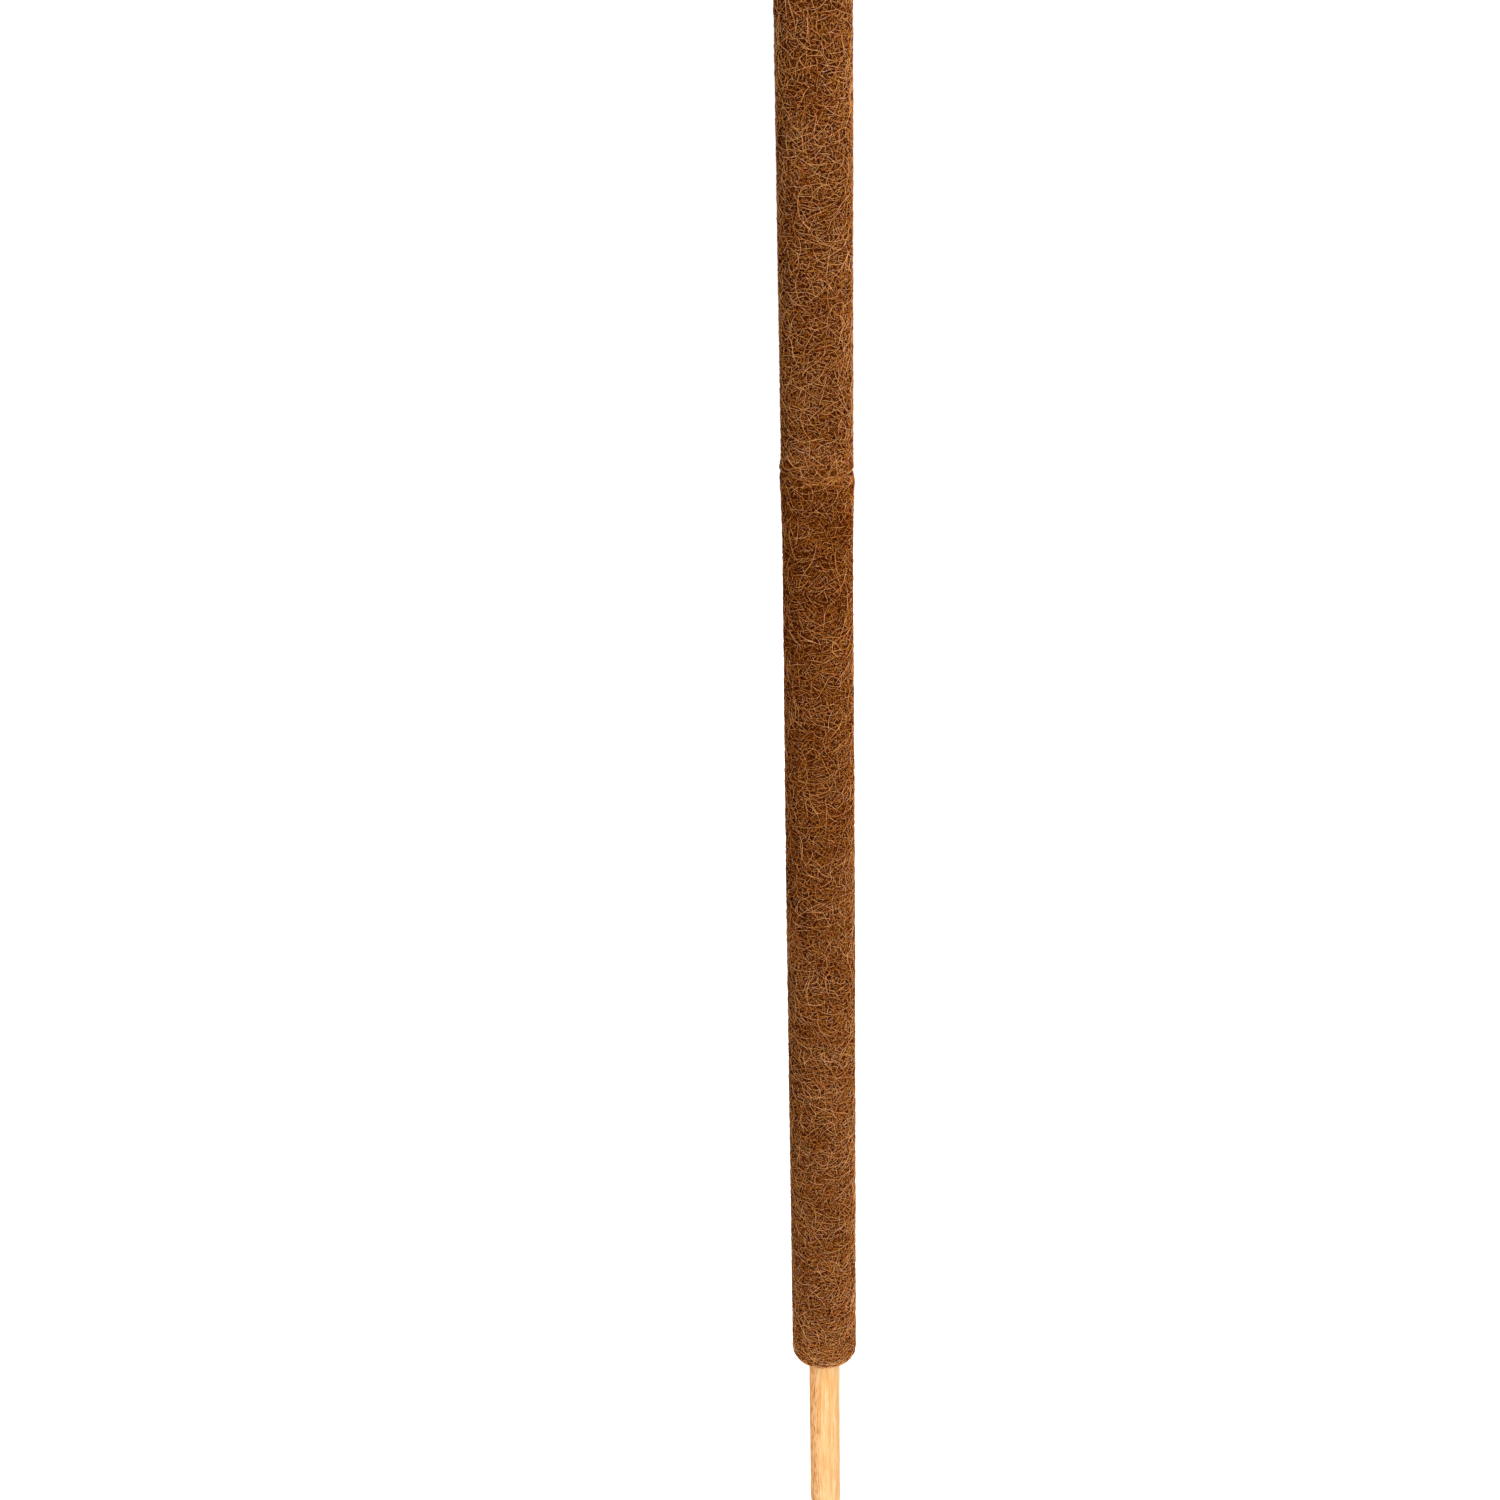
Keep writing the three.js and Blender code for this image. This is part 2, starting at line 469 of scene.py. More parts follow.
def bedded_sleeve():
    """Outer line of the lower sleeve, with the upper one bedded into its mouth, ending on the lip."""
    outside = np.array((RIM_RADIUS, SLEEVE_LENGTH))
    inside = np.array((dish()[0][0][0] + LIP_LAND, SLEEVE_LENGTH))
    return foot_and_side(0.0, GIRTH_LOWER) + [curve(outside - (0, LIP_DROP), outside, inside)]


def stake_line(tip, top):
    """Half outline of a turned stake, from the tip of its point up to its end inside the tube."""
    cone_end = np.array((STAKE_RADIUS, tip + POINT_LENGTH))
    cone_start = np.array((TIP_RADIUS, tip))
    slope = (cone_end - cone_start) / np.linalg.norm(cone_end - cone_start)
    upward = np.array((0.0, 1.0))
    flat = np.array((1.0, 0.0))
    return [
        [[0, tip]],
        curve(cone_start - flat * TIP_ROUNDING, cone_start, cone_start + slope * TIP_ROUNDING),
        curve(cone_end - slope * SHOULDER_BLEND, cone_end, cone_end + upward * SHOULDER_BLEND),
        [[STAKE_RADIUS, top - STAKE_END_CHAMFER], [STAKE_RADIUS - STAKE_END_CHAMFER, top], [0, top]],
    ]


# Felt and stake meshes

# The felt under the fibres lies this far below the sleeve's surface, give or take its lumps
FELT_DEPTH = 1.0 * MM
FELT_LUMP = 0.25 * MM
FELT_LUMP_LENGTHS = (3 * MM, 9 * MM)
FELT_LUMP_WAVES = 24
FELT_STEP = 1.0 * MM

# Its back on the tube starts this far above the foot, and in the upper sleeve ends this far under the mouth
FELT_BACK_START = 2 * MM
FELT_BACK_END = 1.5 * MM

# It thins out towards the lip
LIP_FELT_DEPTH = 0.4 * MM
LIP_FELT_DROP = 2.5 * MM
LIP_THINNING = 8 * MM

# A stake's facets, and how uneven its surface is
STAKE_STEP = 0.8 * MM
STAKE_COLUMNS = 96
STAKE_SEED = 21
STAKE_UNEVEN = 0.05 * MM
STAKE_WAVE_LENGTHS = (5 * MM, 22 * MM)
STAKE_WAVES = 18
STAKE_WAVE_STRETCH = (1, 1, 0.4)


def seeded_waves(seed, lengths, count):
    """Smooth seamless lumps in space: a sum of plane waves of the given lengths."""
    rng = np.random.default_rng(seed)
    directions = rng.normal(size=(count, 3))
    directions /= np.linalg.norm(directions, axis=1)[:, None]
    waves = directions * (TURN / rng.uniform(*lengths, count))[:, None]
    phases = rng.uniform(0, TURN, count)

    def value(points):
        flat = points.reshape(-1, 3)
        total = np.zeros(len(flat))
        for wave, phase in zip(waves, phases):
            total += np.sin(flat @ wave + phase)
        return (total * math.sqrt(2 / count)).reshape(points.shape[:-1])

    return value


def mesh_object(name, vertices, loops, starts, material):
    """A smooth mesh from flat arrays of vertices, face corners and face starts."""
    mesh = bpy.data.meshes.new(name)
    mesh.vertices.add(len(vertices))
    mesh.vertices.foreach_set("co", np.ascontiguousarray(vertices, np.float32).ravel())
    mesh.loops.add(len(loops))
    mesh.loops.foreach_set("vertex_index", np.ascontiguousarray(loops, np.int32))
    mesh.polygons.add(len(starts))
    mesh.polygons.foreach_set("loop_start", np.ascontiguousarray(starts, np.int32))
    mesh.polygons.foreach_set("use_smooth", np.ones(len(starts), bool))
    mesh.update(calc_edges=True)
    mesh.validate()
    mesh.materials.append(material)
    piece = bpy.data.objects.new(name, mesh)
    bpy.context.scene.collection.objects.link(piece)
    return piece


def ring_quads(rows, columns, closed_rows):
    """Face corners of a grid whose columns run round, and whose rows close on themselves or not."""
    row = np.arange(rows if closed_rows else rows - 1)[:, None]
    column = np.arange(columns)[None, :]
    next_row = (row + 1) % rows
    next_column = (column + 1) % columns
    corners = (
        row * columns + column,
        row * columns + next_column,
        next_row * columns + next_column,
        next_row * columns + column,
    )
    return np.stack(np.broadcast_arrays(*corners), axis=-1).reshape(-1, 4)


def round_pole(angle, outward, upward):
    """Vectors with an outward and an upward part, at angles round the pole."""
    parts = np.broadcast_arrays(outward * np.cos(angle), outward * np.sin(angle), upward)
    return np.stack(parts, axis=-1)


def lathe_points(radius, height, columns):
    """Rows of points that turn a line of radius and height round the pole."""
    angle = np.linspace(0, TURN, columns, endpoint=False)
    return round_pole(angle, radius[:, None], height[:, None])


def felt_piece(name, line, back, depths, lump, seed, material):
    """A closed lumpy ring: the felt at a depth under the surface, and a plain line behind it.

    Depths are the depth at the line's end, and the depth away from that end.
    """
    front = surface_from(line, FELT_STEP)
    columns = int(TURN * COIR_RADIUS / FELT_STEP)
    sunk = np.interp(front.along[-1] - front.along, (0, LIP_THINNING), depths)
    radius = front.radius - front.normal_r * sunk
    height = front.height - front.normal_z * sunk
    points = lathe_points(radius, height, columns)
    normals = lathe_points(front.normal_r, front.normal_z, columns)
    lumps = seeded_waves(seed, FELT_LUMP_LENGTHS, FELT_LUMP_WAVES)
    points += normals * (lump * lumps(points))[..., None]
    inside = np.vstack(back)
    points = np.concatenate((points, lathe_points(inside[:, 0], inside[:, 1], columns)))
    quads = ring_quads(len(points), columns, True)
    return mesh_object(name, points.reshape(-1, 3), quads.ravel(), np.arange(len(quads)) * 4, material)


def stake_piece(name, line, material):
    """A closed round body from a line that starts and ends on the axis, with a slightly uneven surface."""
    columns = STAKE_COLUMNS
    surface = surface_from(line, STAKE_STEP)
    points = lathe_points(surface.radius[1:-1], surface.height[1:-1], columns)
    normals = lathe_points(surface.normal_r[1:-1], surface.normal_z[1:-1], columns)
    uneven = seeded_waves(STAKE_SEED, STAKE_WAVE_LENGTHS, STAKE_WAVES)
    points += normals * (STAKE_UNEVEN * uneven(points * STAKE_WAVE_STRETCH))[..., None]
    rows = len(points)
    ends = [(0, 0, surface.height[0]), (0, 0, surface.height[-1])]
    vertices = np.concatenate((points.reshape(-1, 3), ends))
    quads = ring_quads(rows, columns, False)
    column = np.arange(columns)
    after = (column + 1) % columns
    bottom = np.stack((np.full(columns, rows * columns), after, column), axis=1)
    last = (rows - 1) * columns
    top = np.stack((last + column, last + after, np.full(columns, rows * columns + 1)), axis=1)
    loops = np.concatenate((quads.ravel(), bottom.ravel(), top.ravel()))
    starts = np.concatenate((np.arange(len(quads)) * 4, len(quads) * 4 + np.arange(2 * columns) * 3))
    return mesh_object(name, vertices, loops, starts, material)


# Fibres

MAT = Layer(
    name="mat",
    density=52 * PER_CM2,
    length=(3.5 * MM, 7 * MM),
    bend_radius=6 * MM,
    thickness=(0.30 * MM, 0.38 * MM),
    height=(-0.9 * MM, -0.45 * MM),
    tone=(-0.1, 0.95),
    lean=0.2,
    points=4,
)
WEAVE = Layer(
    name="weave",
    density=80 * PER_CM2,
    length=(4 * MM, 9 * MM),
    bend_radius=8 * MM,
    thickness=(0.23 * MM, 0.30 * MM),
    height=(-0.5 * MM, 0.1 * MM),
    tone=(-1.1, 1.5),
    lean=0.25,
    points=6,
)
STRAND = Layer(
    name="strand",
    density=8 * PER_CM2,
    length=(6 * MM, 20 * MM),
    bend_radius=12 * MM,
    thickness=(0.24 * MM, 0.30 * MM),
    height=(-0.05 * MM, 0.2 * MM),
    tone=(0.9, 1.6),
    lean=0.25,
    points=12,
)
FUZZ = Layer(
    name="fuzz",
    density=0.8 * PER_CM2,
    length=(2.5 * MM, 6 * MM),
    bend_radius=5 * MM,
    thickness=(0.14 * MM, 0.20 * MM),
    height=(0.1 * MM, 0.6 * MM),
    tone=(0.4, 0.9),
    lean=0.0,
    points=6,
    loose_end=True,
)
HOOP = Layer(
    name="hoop",
    density=12 * PER_CM2,
    length=(8 * MM, 18 * MM),
    bend_radius=30 * MM,
    thickness=(0.26 * MM, 0.34 * MM),
    height=(-0.45 * MM, 0.05 * MM),
    tone=(0.4, 1.3),
    lean=0.47,
    points=11,
)
LIP = Layer(
    name="lip",
    density=12 * PER_CM2,
    length=(7 * MM, 16 * MM),
    bend_radius=40 * MM,
    thickness=(0.26 * MM, 0.34 * MM),
    height=(-0.2 * MM, 0.9 * MM),
    tone=(-0.1, 1.05),
    lean=0.47,
    points=10,
)
COLLAR = Layer(
    name="collar",
    density=18 * PER_CM2,
    length=(7 * MM, 16 * MM),
    bend_radius=40 * MM,
    thickness=(0.26 * MM, 0.34 * MM),
    height=(-0.45 * MM, 0.0),
    tone=(0.1, 1.1),
    lean=0.47,
    points=10,
)
LINING = Layer(
    name="lining",
    density=90 * PER_CM2,
    length=(3.5 * MM, 8 * MM),
    bend_radius=4 * MM,
    thickness=(0.24 * MM, 0.30 * MM),
    height=(-0.32 * MM, -0.1 * MM),
    tone=(-0.2, 1.3),
    lean=0.2,
    points=7,
)

# Steps that fill a space of four measures evenly: inverse powers of the root of x^5 = x + 1
EVEN_ROOT = 1.1673039782614187
EVEN_STEPS = EVEN_ROOT ** -np.arange(1.0, 5.0)

# The lean of fibres that all run round the pole
ALL_ROUND = 0.48

# How steeply a fibre comes up from its root, and how it wobbles and tapers
ROOTED_RISE = 5
LOOSE_RISE = 1.3
WOBBLE = 0.1 * MM
WOBBLE_WAVES = 3
TAPER = 0.55
TAPER_RISE = 4

# How the tone changes up a sleeve, by the share of its height. At the foot it is lighter, painted light as
# if lit from the floor below and against the shadow in the seam's groove; further up it is darker, most of
# all just under the top
SHADE_HEIGHTS = (0.007, 0.015, 0.03, 0.40, 0.62, 0.85, 0.93, 0.988, 0.994, 1.0)
HEIGHT_TONES_AND_PAINTED_LIGHT = (0.20, 0.12, -0.07, -0.07, -0.17, -0.23, -0.29, -0.27, -0.08, 0.0)

# Painted shade: how much darker a fibre is the lower it lies towards the felt, as if shaded by those above,
# by its height above the surface
LIFT_HEIGHTS = (-1.0 * MM, -0.2 * MM)
LIFT_PAINTED_SHADE = (-0.3, 0.1)

# How the tone changes in large faint patches, and the painted shade from a fibre's top to its underside
DAPPLE_TONE = 0.03
DAPPLE_SEED = 11
DAPPLE_LENGTHS = (14 * MM, 45 * MM)
DAPPLE_WAVES = 20
FLANK_PAINTED_SHADE = -0.9

# Painted light at the seam, against the shadow of its groove: the light tone that fibres come nearer to
# there, and how much nearer
SEAM_PAINTED_LIGHT = 0.95
SEAM_CALM = 0.33

dapple = seeded_waves(DAPPLE_SEED, DAPPLE_LENGTHS, DAPPLE_WAVES)


def walk(surface, layer, rng, limits, rounded):
    """Rows of lengths along the surface and angles round it, and a phase and a shade for each row.

    The rows start evenly in place, heading and shade, bend as they go and turn back at the limits.
    """
    first, last = limits
    inside = (surface.along >= first) & (surface.along <= last)
    weight = np.cumsum(np.where(inside, surface.radius, 0.0))
    area = TURN * weight[-1] * (surface.along[1] - surface.along[0])
    count = int(layer.density * area)
    place, side, way, shade = ((rng.random(4) + np.arange(count)[:, None] * EVEN_STEPS) % 1.0).T
    along = np.interp(place, weight / weight[-1], surface.along)
    angle = TURN * side
    lean = layer.lean
    if rounded is not None:
        lean = lean + (ALL_ROUND - lean) * np.interp(along, *rounded)
    heading = TURN * way - lean * np.sin(2 * TURN * way)
    step = rng.uniform(*layer.length, count) / (layer.points - 1)
    bend = rng.normal(0, 1 / layer.bend_radius, count)
    swing = rng.normal(0, 1 / layer.bend_radius, count)
    phase = rng.uniform(0, TURN, count)
    rows = []
    for part in np.linspace(0, 1, layer.points):
        rows.append((along, angle))
        heading = heading + (bend + swing * np.sin(phase + TURN * part)) * step
        along = along + np.sin(heading) * step
        over = (along < first) | (along > last)
        heading = np.where(over, -heading, heading)
        along = np.clip(along, first, last)
        angle = angle + np.cos(heading) * step / np.interp(along, surface.along, surface.radius)
    along, angle = (np.stack(values, axis=1) for values in zip(*rows))
    return along, angle, phase[:, None], shade[:, None]


def rise_from_felt(layer, rng, phase):
    """Heights above the surface: each fibre comes up from its root, and goes down again or stays loose."""
    share = np.linspace(0, 1, layer.points)
    crown = rng.uniform(*layer.height, len(phase))[:, None]
    root = -FELT_DEPTH - FELT_LUMP
    rise = share ** LOOSE_RISE if layer.loose_end else 1 - np.abs(2 * share - 1) ** ROOTED_RISE
    wobble = WOBBLE * np.sin(phase + WOBBLE_WAVES * TURN * share)
    return root + (crown - root + wobble) * rise


def grow(surface, layer, rng, limits=None, settle=None, rounded=None, seam=None):
    """Fibres of one layer, scattered evenly in place, heading and tone. Their ends root in the felt.

    Limits are the lengths along the surface that they keep between.
    Settle changes their lift above the surface, from the length along it and the angle round it.
    Rounded gives the share of them, by the length along it, that run round the pole.
    Seam gives how much they are part of the seam, also by that length; there painted light brings their
    tone nearer a light one.
    """
    limits = limits or (surface.along[0], surface.along[-1])
    along, angle, phase, shade = walk(surface, layer, rng, limits, rounded)
    lift = rise_from_felt(layer, rng, phase)
    if settle is not None:
        lift = settle(along, angle, lift)
    radius, height, normal_r, normal_z = (np.interp(along, surface.along, values) for values in surface[1:])
    points = round_pole(angle, radius + normal_r * lift, height + normal_z * lift)
    normals = round_pole(angle, normal_r, normal_z)
    taper = 1 - TAPER * np.abs(2 * np.linspace(0, 1, layer.points) - 1) ** TAPER_RISE
    thickness = rng.uniform(*layer.thickness, len(along))[:, None] * taper
    eased = shade * shade * (3 - 2 * shade)
    tone = np.interp(eased, (0, 1), layer.tone) + DAPPLE_TONE * dapple(points)
    # Painted shade: lower fibres are darker
    tone += np.interp(lift, LIFT_HEIGHTS, LIFT_PAINTED_SHADE)
    # Lighter at the foot, painted light, and darker further up
    tone += np.interp((height - surface.height[0]) / SLEEVE_LENGTH, SHADE_HEIGHTS, HEIGHT_TONES_AND_PAINTED_LIGHT)
    # Painted light: near the seam the tones come nearer to a light one
    if seam is not None:
        tone += (SEAM_PAINTED_LIGHT - tone) * SEAM_CALM * np.interp(along, *seam)
    return Fibres(points, normals, thickness, tone)


# Patches between these two sizes are evened out, on a grid of cells of this size
PATCH_FINE = 0.7 * MM
PATCH_COARSE = 5 * MM
PATCH_CELL = 0.25 * MM
PATCH_ROUNDS = 3

# Evening out fades in over this height above the foot, and fades out between these two below the top
EVEN_START = 2 * MM
EVEN_END = (6 * MM, 3 * MM)

# Tone of the bare felt, and how much darker a fibre looks for its depth
FELT_TONE = -0.2
DEPTH_TONE = 0.5 / MM


def patch_band(rows, columns):
    """The share of each wave on the grid that counts as a patch."""
    upward = np.fft.fftfreq(rows, PATCH_CELL)[:, None]
    sideways = np.fft.rfftfreq(columns, PATCH_CELL)
    waves = TURN ** 2 / 2 * (upward ** 2 + sideways ** 2)
    return np.exp(-PATCH_FINE ** 2 * waves) - np.exp(-PATCH_COARSE ** 2 * waves)


def even_out(surface, ground, cover):
    """Shifts the ground's tones against light or dark patches of the whole, so that fine contrast stays.
    The patches include the shade of deep spots, so this partly paints light into shaded holes.
    """
    grown = ground + cover
    columns = int(TURN * COIR_RADIUS / PATCH_CELL)
    bottom = surface.height.min()
    rows = int((surface.height.max() - bottom) / PATCH_CELL) + 1

    def cells(points):
        """The cell of the grid that each point lies in."""
        turn = np.arctan2(points[..., 1], points[..., 0]) / TURN
        column = (turn * columns).astype(int) % columns
        row = ((points[..., 2] - bottom) / PATCH_CELL).astype(int)
        return np.clip(row, 0, rows - 1) * columns + column

    def finer(layer, values):
        """Values at every cell along the fibres."""
        place = np.linspace(0, layer.points - 1, int(layer.length[1] / PATCH_CELL))
        low = np.minimum(place.astype(int), layer.points - 2)
        part = (place - low).reshape(-1, *[1] * (values.ndim - 2))
        return values[:, low] * (1 - part) + values[:, low + 1] * part

    points = np.concatenate([finer(layer, fibres.points).reshape(-1, 3) for layer, fibres in grown])
    reach = np.hypot(points[:, 0], points[:, 1])
    order = np.argsort(reach)
    on_top = np.full(rows * columns, -1)
    on_top[cells(points)[order]] = order
    depth = np.minimum(reach[on_top] - COIR_RADIUS, 0) * DEPTH_TONE
    band = patch_band(rows, columns)
    up = np.arange(rows) * PATCH_CELL
    fades = (0, EVEN_START, up[-1] - EVEN_END[0], up[-1] - EVEN_END[1])
    share = np.interp(up, fades, (0, 1, 1, 0))[:, None]
    for _ in range(PATCH_ROUNDS):
        tone = np.concatenate([finer(layer, fibres.tone).ravel() for layer, fibres in grown])
        fibre_look = np.clip(tone[on_top], 0, TONE_TOP) + depth
        look = np.where(on_top < 0, FELT_TONE, fibre_look).reshape(rows, columns)
        excess = (np.fft.irfft2(np.fft.rfft2(look) * band, look.shape) * share).ravel()
        for _, fibres in ground:
            fibres.tone[...] -= excess[cells(fibres.points)]


# Bare border of each fibre's cell in the texture map, as a share of the cell
MAP_MARGIN = 0.12

TRIANGLES_PER_PIECE = 190000


def unit(vectors):
    return vectors / np.maximum(np.linalg.norm(vectors, axis=-1, keepdims=True), TINY)


def tube_faces(steps, sides):
    """Face corners of one closed tube with pointed ends, their places in its map, and the faces' starts."""
    corners, places, starts = [], [], []
    last_ring = steps - 2
    tip = 1 + last_ring * sides

    def knot(ring, side):
        return 1 + (ring - 1) * sides + side % sides, side, ring

    def face(*knots):
        starts.append(len(corners))
        for vertex, place_u, place_v in knots:
            corners.append(vertex)
            places.append((place_u / sides, place_v / (steps - 1)))

    for side in range(sides):
        after = side + 1
        face((0, side + 0.5, 0), knot(1, after), knot(1, side))
        for ring in range(1, last_ring):
            face(knot(ring, side), knot(ring, after), knot(ring + 1, after), knot(ring + 1, side))
        face(knot(last_ring, side), knot(last_ring, after), (tip, side + 0.5, steps - 1))
    return np.array(corners), np.array(places), np.array(starts)


def fibre_piece(name, fibres, sides, material):
    """One mesh of many thin closed tubes, each with its own cell in a texture map."""
    count, steps = fibres.points.shape[:2]
    tangent = unit(np.gradient(fibres.points, axis=1))
    across = unit(np.cross(tangent, fibres.normals))
    up = np.cross(across, tangent)
    turn = np.linspace(0, TURN, sides, endpoint=False)
    spokes = np.cos(turn)[:, None] * up[:, 1:-1, None] + np.sin(turn)[:, None] * across[:, 1:-1, None]
    rings = fibres.points[:, 1:-1, None] + spokes * (fibres.thickness[:, 1:-1, None, None] / 2)
    start, end = fibres.points[:, :1], fibres.points[:, -1:]
    vertices = np.concatenate((start, rings.reshape(count, -1, 3), end), axis=1)
    # Painted shade: each fibre darkens from its top round to its underside, as if shaded
    flank_shade = FLANK_PAINTED_SHADE * (1 - np.cos(turn)) / 2
    ring_tone = (fibres.tone[:, 1:-1, None] + flank_shade).reshape(count, -1)
    tone = np.concatenate((fibres.tone[:, :1], ring_tone, fibres.tone[:, -1:]), axis=1)

    corners, places, starts = tube_faces(steps, sides)
    fibre = np.arange(count)[:, None]
    loops = (corners + fibre * vertices.shape[1]).ravel()
    starts = (starts + fibre * len(corners)).ravel()
    piece = mesh_object(name, vertices.reshape(-1, 3), loops, starts, material)
    mesh = piece.data
    mesh.attributes.new("tone", "FLOAT", "POINT").data.foreach_set("value", tone.astype(np.float32).ravel())
    cells = math.ceil(math.sqrt(count))
    cell = np.concatenate((fibre % cells, fibre // cells), axis=1)[:, None, :]
    spots = (cell + MAP_MARGIN + places * (1 - 2 * MAP_MARGIN)) / cells
    mesh.uv_layers.new(name="OFBake").data.foreach_set("uv", spots.astype(np.float32).ravel())
    return piece


def fibre_pieces(prefix, layer, fibres, material):
    """A layer's fibres, shared over as many pieces as their triangles need."""
    count = len(fibres.points)
    triangles = 2 * layer.sides * (layer.points - 2)
    parts = math.ceil(count * triangles / TRIANGLES_PER_PIECE)
    made = []
    for index, chosen in enumerate(np.array_split(np.arange(count), parts)):
        name = f"{prefix}_{layer.name}" + (f"_{index + 1}" if parts > 1 else "")
        some = Fibres(*(values[chosen] for values in fibres))
        made.append(fibre_piece(name, some, layer.sides, material))
    return made


# The pole

LOWER_SEED = 3
UPPER_SEED = 4
LINING_FELT_SEED = 5
LINING_SEED = 6

# Over these lengths above the foot and before the line's end, the fibres turn to run round the pole
FOOT_BLEND = 4 * MM
END_BLEND = (5 * MM, 2 * MM)

# Where the hoops round the foot start, as a share of its line, and how far over it they go
HOOP_START = 0.3
HOOP_REACH = 8 * MM

# How far down from its end the lip's fibres go, and how far up over the foot the collar's
LIP_REACH = 4 * MM
COLLAR_REACH = 1 * MM

# Lowest and highest lift of the lower fibres and how far the seam is open, by the length from the lip's end
LIP_LOWEST = ((-3 * MM, -1 * MM), (-2 * MM, -0.5 * MM))
LIP_HIGHEST = ((-5 * MM, -4 * MM, -1.2 * MM, 0), (1 * MM, 0.05 * MM, 0.1 * MM, 0.6 * MM))
LIP_OPENING = ((-4 * MM, 0), (0, 1 * MM))

# Highest lift of the upper fibres, and how far the seam is open or filled, by the length over the lip
FOOT_HIGHEST = ((0, 3 * MM), (-0.15 * MM, 1 * MM))
FOOT_OPENING = ((0, 3 * MM), (0.45 * MM, 0))
FOOT_FILLING = ((0, 1.5 * MM, 6 * MM), (0.2 * MM, 0.7 * MM, 0))

# The lower mouth's lining follows the bedded foot
LINING_TOP = 0.35 * MM
LINING_BOTTOM = 0.75 * MM
LINING_CLEARANCE = 0.05 * MM
LINING_LUMP = 0.06 * MM
LINING_ROOT = 0.4 * MM

coir = coir_material()
felt = felt_material()
wood = wood_material()
plastic = tube_material()
steel = steel_material()


def notch(angle):
    """How far the seam between the sleeves is open: wide on the right, and closed elsewhere."""
    return np.clip(np.cos(angle), 0, 1) ** 2


def dress_sleeve(section, felt_made, line, seed, settle):
    """A section's coir: felt with layers of fibre over it."""
    rng = np.random.default_rng(seed)
    surface = surface_from(line)
    end = surface.along[-1]
    foot_blend = (FOOT_LENGTH, FOOT_LENGTH + FOOT_BLEND)
    end_blend = (end - END_BLEND[0], end - END_BLEND[1])
    rounded = (foot_blend + end_blend, (1, 0, 0, 1))
    if section == "lower":
        seam = (end_blend, (0, 1))
        edge, reach = LIP, (end - LIP_REACH, end)
    else:
        seam = (foot_blend, (1, 0))
        edge, reach = COLLAR, (BEDDED_LENGTH, FOOT_LENGTH + COLLAR_REACH)

    def grown(*layers, **where):
        return [(layer, grow(surface, layer, rng, settle=settle, seam=seam, **where)) for layer in layers]

    ground = grown(MAT, WEAVE, rounded=rounded)
    cover = grown(STRAND, FUZZ, rounded=rounded)
    cover += grown(HOOP, limits=(HOOP_START * FOOT_LENGTH, FOOT_LENGTH + HOOP_REACH))
    cover += grown(edge, limits=reach)
    even_out(surface, ground, cover)
    pieces = [felt_made]
    for layer, fibres in ground + cover:
        pieces += fibre_pieces(f"{section}_coir", layer, fibres, coir)
    for piece in pieces:
        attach(piece, f"{section}_section")
    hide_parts(f"{section}_coir_wrap")


def dress_lower():
    """The lower sleeve, whose mouth is pressed into a dish by the upper one's foot."""
    line = bedded_sleeve()
    lip = surface_from(line).along[-1]
    felt_top = SLEEVE_LENGTH - LIP_FELT_DROP
    felt_line = foot_and_side(0.0, GIRTH_LOWER) + [[[RIM_RADIUS, felt_top]]]
    under_lining = np.vstack(dish(LINING_BOTTOM + LINING_CLEARANCE))
    back = [
        under_lining[under_lining[:, 1] < felt_top],
        [[COIR_BORE_RADIUS, SLEEVE_LENGTH - MOUTH_DEPTH], [COIR_BORE_RADIUS, FELT_BACK_START]],
    ]
    depths = (LIP_FELT_DEPTH, FELT_DEPTH)
    made = felt_piece("lower_coir_felt", felt_line, back, depths, FELT_LUMP, LOWER_SEED, felt)

    def settle(along, angle, lift):
        """Keeps fibres inside the thin lip, lifts them into the seam and opens it on the right."""
        from_lip = along - lip
        lowest = np.interp(from_lip, *LIP_LOWEST)
        highest = np.interp(from_lip, *LIP_HIGHEST)
        opened = np.interp(from_lip, *LIP_OPENING) * notch(angle)
        return np.clip(lift, lowest, highest - opened)

    dress_sleeve("lower", made, line, LOWER_SEED, settle)


def dress_lining():
    """Coir in the lower mouth, pressed into the dish at rest."""
    back = [np.vstack(dish(LINING_BOTTOM))[::-1]]
    depths = (LINING_TOP, LINING_TOP)
    made = felt_piece("lower_mouth_felt", dish(), back, depths, LINING_LUMP, LINING_FELT_SEED, felt)

    def settle(along, angle, lift):
        """Keeps the roots inside the thin felt."""
        return np.maximum(lift, -LINING_ROOT)

    fibres = grow(surface_from(dish()), LINING, np.random.default_rng(LINING_SEED), settle=settle)
    for piece in (made, *fibre_pieces("lower_mouth", LINING, fibres, coir)):
        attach(piece, "lower_section")
        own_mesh(piece)


